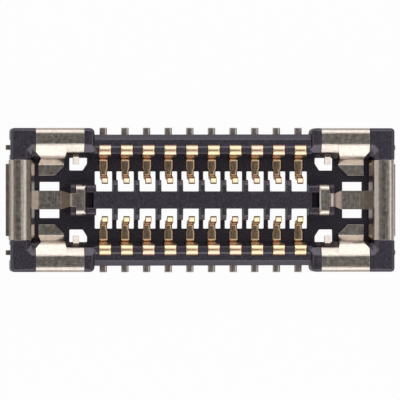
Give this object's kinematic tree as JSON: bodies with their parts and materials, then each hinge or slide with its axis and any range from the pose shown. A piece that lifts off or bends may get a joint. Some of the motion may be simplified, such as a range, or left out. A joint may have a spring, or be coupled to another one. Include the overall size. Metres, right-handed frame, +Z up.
{
  "type": "board to flexible circuit connector",
  "caption": "Low-profile receptacle that solders to a flexible circuit and takes a mating plug from above: black moulded housing, gold spring contacts, stamped metal nails.",
  "frame": {"origin": "middle of the connector on the solder plane, the plane of the tails' and feet's undersides", "axes": "+X along the contact rows, +Y across them towards row a, +Z up towards the mating plug"},
  "size_m": [0.0064, 0.0024, 0.0006],
  "materials": {
    "moulded_housing": "black glass-filled liquid crystal polymer, as moulded",
    "plated_nail": "stamped sheet with a bright nickel plate",
    "gold_contact": "copper alloy spring strip, gold plated over nickel"
  },
  "bodies": {
    "root": {"housing": "moulded_housing", "end_nail_left": "plated_nail", "end_nail_right": "plated_nail", "corner_nail_left_a": "plated_nail", "corner_nail_left_b": "plated_nail", "corner_nail_right_a": "plated_nail", "corner_nail_right_b": "plated_nail", "contact_a01": "gold_contact", "contact_a02": "gold_contact", "contact_a03": "gold_contact", "contact_a04": "gold_contact", "contact_a05": "gold_contact", "contact_a06": "gold_contact", "contact_a07": "gold_contact", "contact_a08": "gold_contact", "contact_a09": "gold_contact", "contact_a10": "gold_contact", "contact_b01": "gold_contact", "contact_b02": "gold_contact", "contact_b03": "gold_contact", "contact_b04": "gold_contact", "contact_b05": "gold_contact", "contact_b06": "gold_contact", "contact_b07": "gold_contact", "contact_b08": "gold_contact", "contact_b09": "gold_contact", "contact_b10": "gold_contact"}
  },
  "joints": []
}
